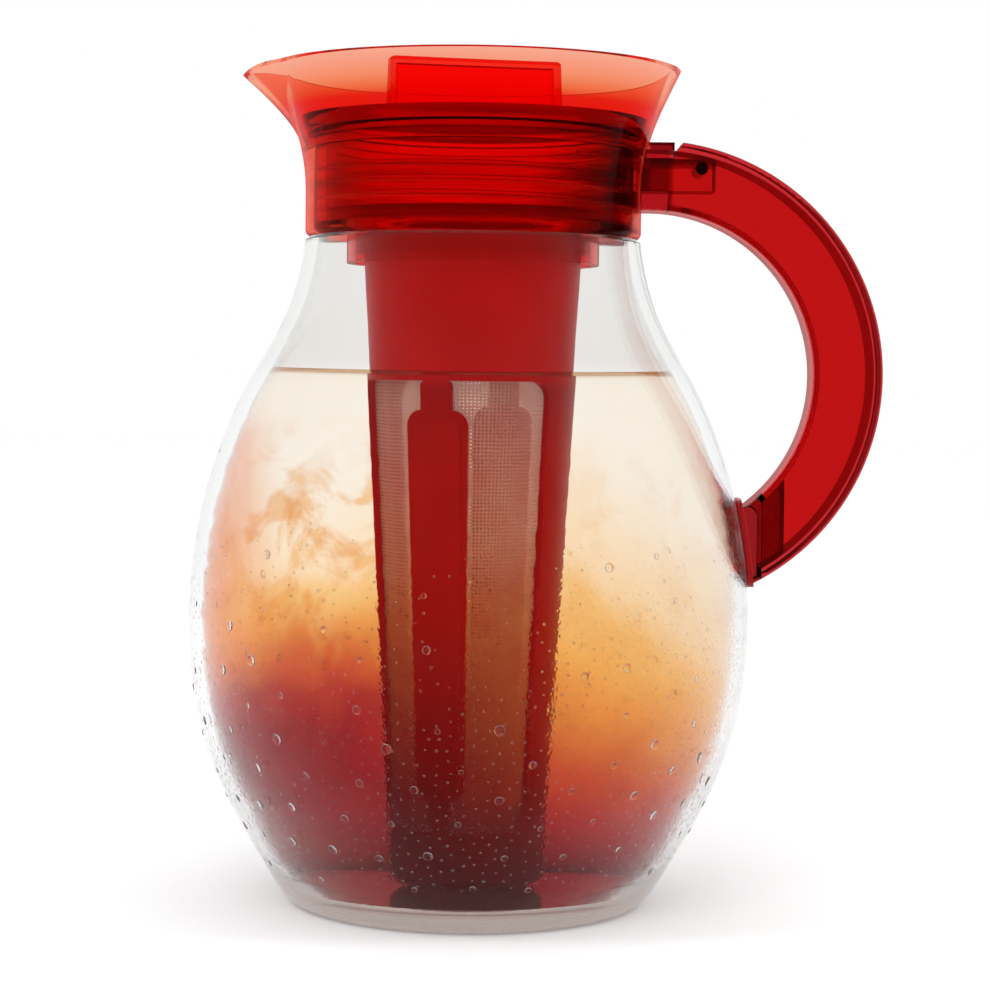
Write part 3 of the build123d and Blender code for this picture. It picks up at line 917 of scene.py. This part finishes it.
# Painted shade: the outer band is darker than the channel, for the shade along the handle's outer
# edge.
handle_band_painted_shade = red_plastic("moulded_red_clear_san_cover_painted_shade", "C02A30", "68080E", 0.08)
dress("handle_cover", handle_band_painted_shade)
foot_red = red_plastic("moulded_red_clear_san_foot", "90181C", "5A060A", 0.08)
dress("handle_foot", foot_red)

solid_red = bpy.data.materials.new("polished_red_san_pin")
tree = empty_tree(solid_red)
where = add_node(tree, "ShaderNodeTexCoord").outputs["Object"]
wear = add_node(
    tree, "ShaderNodeTexNoise", {"Vector": where, "Scale": 800.0, "Detail": 2.0}
).outputs["Fac"]
shade = add_node(
    tree, "ShaderNodeValToRGB", {"Fac": wear}, stops=[(0.3, "6A080C"), (0.7, "8A0C12")]
)
relief = add_node(tree, "ShaderNodeBump", {"Height": wear, "Strength": 0.1, "Distance": 0.0001})
skin = add_node(
    tree,
    "ShaderNodeBsdfPrincipled",
    {"Base Color": shade.outputs[0], "Roughness": 0.2, "IOR": 1.56, "Normal": relief.outputs[0]},
)
add_node(tree, "ShaderNodeOutputMaterial", {"Surface": skin.outputs[0]})
dress("handle_pin", solid_red)

# ---- lid ---------------------------------------------------------------------------------
# The lid is a deep plug with a skirt for the infuser and a disc with a hollow fin welded
# on it, both in the same red plastic, and a clear silicone ring under the plug's flange.

lid_red = red_plastic("moulded_red_clear_san_lid", "FF4C46", "B41820", 0.06)
for node_name in ("lid_plug", "lid_top"):
    dress(node_name, lid_red)
dress("lid_seal", clear_silicone)

# ---- screw threads -----------------------------------------------------------------------
# A fine round thread is moulded round the plug and another inside the jug's neck. They
# show as thin arcs through the collar.

round_thread = new_recipe(
    "round_thread", ["Radius", "Start Height", "Pitch", "Turns", "Bead Radius", "Start Turn"]
)
begin = add_node(round_thread, "NodeGroupInput").outputs
climb = add_node(
    round_thread, "ShaderNodeMath", {0: begin["Pitch"], 1: begin["Turns"]}, operation="MULTIPLY"
).outputs[0]
helix = add_node(
    round_thread,
    "GeometryNodeCurveSpiral",
    {
        "Resolution": 96,
        "Rotations": begin["Turns"],
        "Start Radius": begin["Radius"],
        "End Radius": begin["Radius"],
        "Height": climb,
    },
).outputs[0]
along = add_node(round_thread, "GeometryNodeSplineParameter").outputs["Factor"]
back = add_node(
    round_thread, "ShaderNodeMath", {0: 1.0, 1: along}, operation="SUBTRACT"
).outputs[0]
taper = add_node(
    round_thread, "ShaderNodeMath", {0: along, 1: back}, operation="MINIMUM"
).outputs[0]
taper = add_node(
    round_thread, "ShaderNodeMapRange", {"Value": taper, "From Max": 0.04, "To Min": 0.3}
).outputs[0]
helix = add_node(
    round_thread, "GeometryNodeSetCurveRadius", {"Curve": helix, "Radius": taper}
).outputs[0]
bead_ring = add_node(
    round_thread,
    "GeometryNodeCurvePrimitiveCircle",
    {"Resolution": 8, "Radius": begin["Bead Radius"]},
).outputs[0]
solid = add_node(
    round_thread, "GeometryNodeCurveToMesh", {
        "Curve": helix, "Profile Curve": bead_ring, "Fill Caps": True
    }
).outputs[0]
lift = add_node(round_thread, "ShaderNodeCombineXYZ", {2: begin["Start Height"]}).outputs[0]
twist = add_node(round_thread, "ShaderNodeCombineXYZ", {2: begin["Start Turn"]}).outputs[0]
solid = add_node(
    round_thread,
    "GeometryNodeTransform",
    {"Geometry": solid, "Translation": lift, "Rotation": twist},
).outputs[0]
solid = add_node(round_thread, "GeometryNodeRealizeInstances", {0: solid}).outputs[0]
solid = add_node(round_thread, "GeometryNodeSetShadeSmooth", {"Geometry": solid}).outputs[0]
solid = add_node(
    round_thread, "GeometryNodeSetMaterial", {"Geometry": solid, "Material": begin["Finish"]}
).outputs[0]
add_node(round_thread, "NodeGroupOutput", {"Geometry": solid})

plug_thread = cast(
    "plug_thread",
    round_thread,
    {
        "Radius": 0.04632,
        "Start Height": 0.2205,
        "Pitch": 0.0045,
        "Turns": 3.2,
        "Bead Radius": 0.0005,
        "Start Turn": 0.4,
    },
    lid_red,
)
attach(plug_thread, "lid")
neck_thread = cast(
    "neck_thread",
    round_thread,
    {
        "Radius": 0.04745,
        "Start Height": 0.2180,
        "Pitch": 0.0045,
        "Turns": 3.4,
        "Bead Radius": 0.0005,
        "Start Turn": 2.2,
    },
    clear_shell,
)
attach(neck_thread, "pitcher")

# ---- infuser -----------------------------------------------------------------------------
# The infuser's frame and end cap are moulded in solid red polypropylene with a satin
# skin: soft highlights and a fine spark-eroded grain. Below the tea's surface a painted
# shade makes it a little darker.

satin_red = bpy.data.materials.new("satin_red_polypropylene")
tree = empty_tree(satin_red)
where = add_node(tree, "ShaderNodeTexCoord").outputs["Object"]
flow = add_node(
    tree, "ShaderNodeTexNoise", {"Vector": where, "Scale": 40.0, "Detail": 3.0}
).outputs["Fac"]
grain = add_node(
    tree, "ShaderNodeTexNoise", {"Vector": where, "Scale": 1400.0, "Detail": 2.0}
).outputs["Fac"]
shade = add_node(
    tree, "ShaderNodeValToRGB", {"Fac": flow}, stops=[(0.3, "F00A0E"), (0.7, "FF0E12")]
)
height = add_node(tree, "ShaderNodeSeparateXYZ", {0: where}).outputs["Z"]
# Painted shade: below the tea's surface the red is multiplied darker, for the light the tea holds
# back.
painted_tea_shade = add_node(
    tree, "ShaderNodeMapRange", {"Value": height, "From Min": 0.030, "From Max": 0.163}
).outputs[0]
painted_tea_shade = add_node(
    tree, "ShaderNodeValToRGB", {"Fac": painted_tea_shade}, stops=[(0.0, "D0C4C4"), (1.0, "C8C0C0")]
).outputs[0]
under = add_node(
    tree, "ShaderNodeMapRange", {"Value": height, "From Min": 0.167, "From Max": 0.162}
).outputs[0]
shade = add_node(
    tree,
    "ShaderNodeMix",
    {0: under, 6: shade.outputs[0], 7: painted_tea_shade},
    data_type="RGBA",
    blend_type="MULTIPLY",
)
relief = add_node(tree, "ShaderNodeBump", {"Height": grain, "Strength": 0.15, "Distance": 0.0001})
haze = add_node(tree, "ShaderNodeMapRange", {"Value": grain, "To Min": 0.34, "To Max": 0.46})
skin = add_node(
    tree,
    "ShaderNodeBsdfPrincipled",
    {
        "Base Color": shade.outputs[2],
        "Roughness": haze.outputs[0],
        "IOR": 1.49,
        "Specular IOR Level": 0.12,
        "Specular Tint": (1.0, 0.15, 0.12, 1.0),
        "Transmission Weight": 0.1,
        "Normal": relief.outputs[0],
    },
)
add_node(tree, "ShaderNodeOutputMaterial", {"Surface": skin.outputs[0]})
for node_name in ("infuser_frame", "infuser_cap"):
    dress(node_name, satin_red)

# ---- strainer mesh -----------------------------------------------------------------------
# A sleeve of woven nylon mesh is moulded into the frame behind its windows. The threads
# are drawn 1.1 mm apart, coarser than the real 0.2 mm, which would be too fine to show.

thread_pitch = 0.0011
sleeve_radius = 0.027
warp_threads = round(2 * pi * sleeve_radius / thread_pitch)
woven_nylon = bpy.data.materials.new("woven_nylon_strainer_mesh")
tree = empty_tree(woven_nylon)
where = add_node(tree, "ShaderNodeTexCoord").outputs["Object"]
axes = add_node(tree, "ShaderNodeSeparateXYZ", {0: where}).outputs
turn = add_node(
    tree, "ShaderNodeMath", {0: axes["Y"], 1: axes["X"]}, operation="ARCTAN2"
).outputs[0]
warp = add_node(
    tree, "ShaderNodeMath", {0: turn, 1: warp_threads}, operation="MULTIPLY"
).outputs[0]
weft = add_node(
    tree, "ShaderNodeMath", {0: axes["Z"], 1: 2 * pi / thread_pitch}, operation="MULTIPLY"
).outputs[0]
warp = add_node(tree, "ShaderNodeMath", {0: warp}, operation="SINE").outputs[0]
weft = add_node(tree, "ShaderNodeMath", {0: weft}, operation="SINE").outputs[0]
thread = add_node(tree, "ShaderNodeMath", {0: warp, 1: weft}, operation="MAXIMUM").outputs[0]
cover = add_node(
    tree,
    "ShaderNodeMapRange",
    {"Value": thread, "From Min": -0.35, "From Max": 0.15, "To Min": 0.14, "To Max": 0.54},
).outputs[0]
stain = add_node(
    tree, "ShaderNodeTexNoise", {"Vector": where, "Scale": 60.0, "Detail": 3.0}
).outputs["Fac"]
cloth = add_node(
    tree, "ShaderNodeValToRGB", {"Fac": stain}, stops=[(0.3, "F89890"), (0.7, "FFBCB4")]
)
relief = add_node(tree, "ShaderNodeBump", {"Height": thread, "Strength": 0.5, "Distance": 0.0002})
skin = add_node(
    tree,
    "ShaderNodeBsdfPrincipled",
    {
        "Base Color": cloth.outputs[0],
        "Roughness": 0.5,
        "IOR": 1.53,
        "Alpha": cover,
        "Normal": relief.outputs[0],
    },
)
add_node(tree, "ShaderNodeOutputMaterial", {"Surface": skin.outputs[0]})
dress("infuser_mesh", woven_nylon)
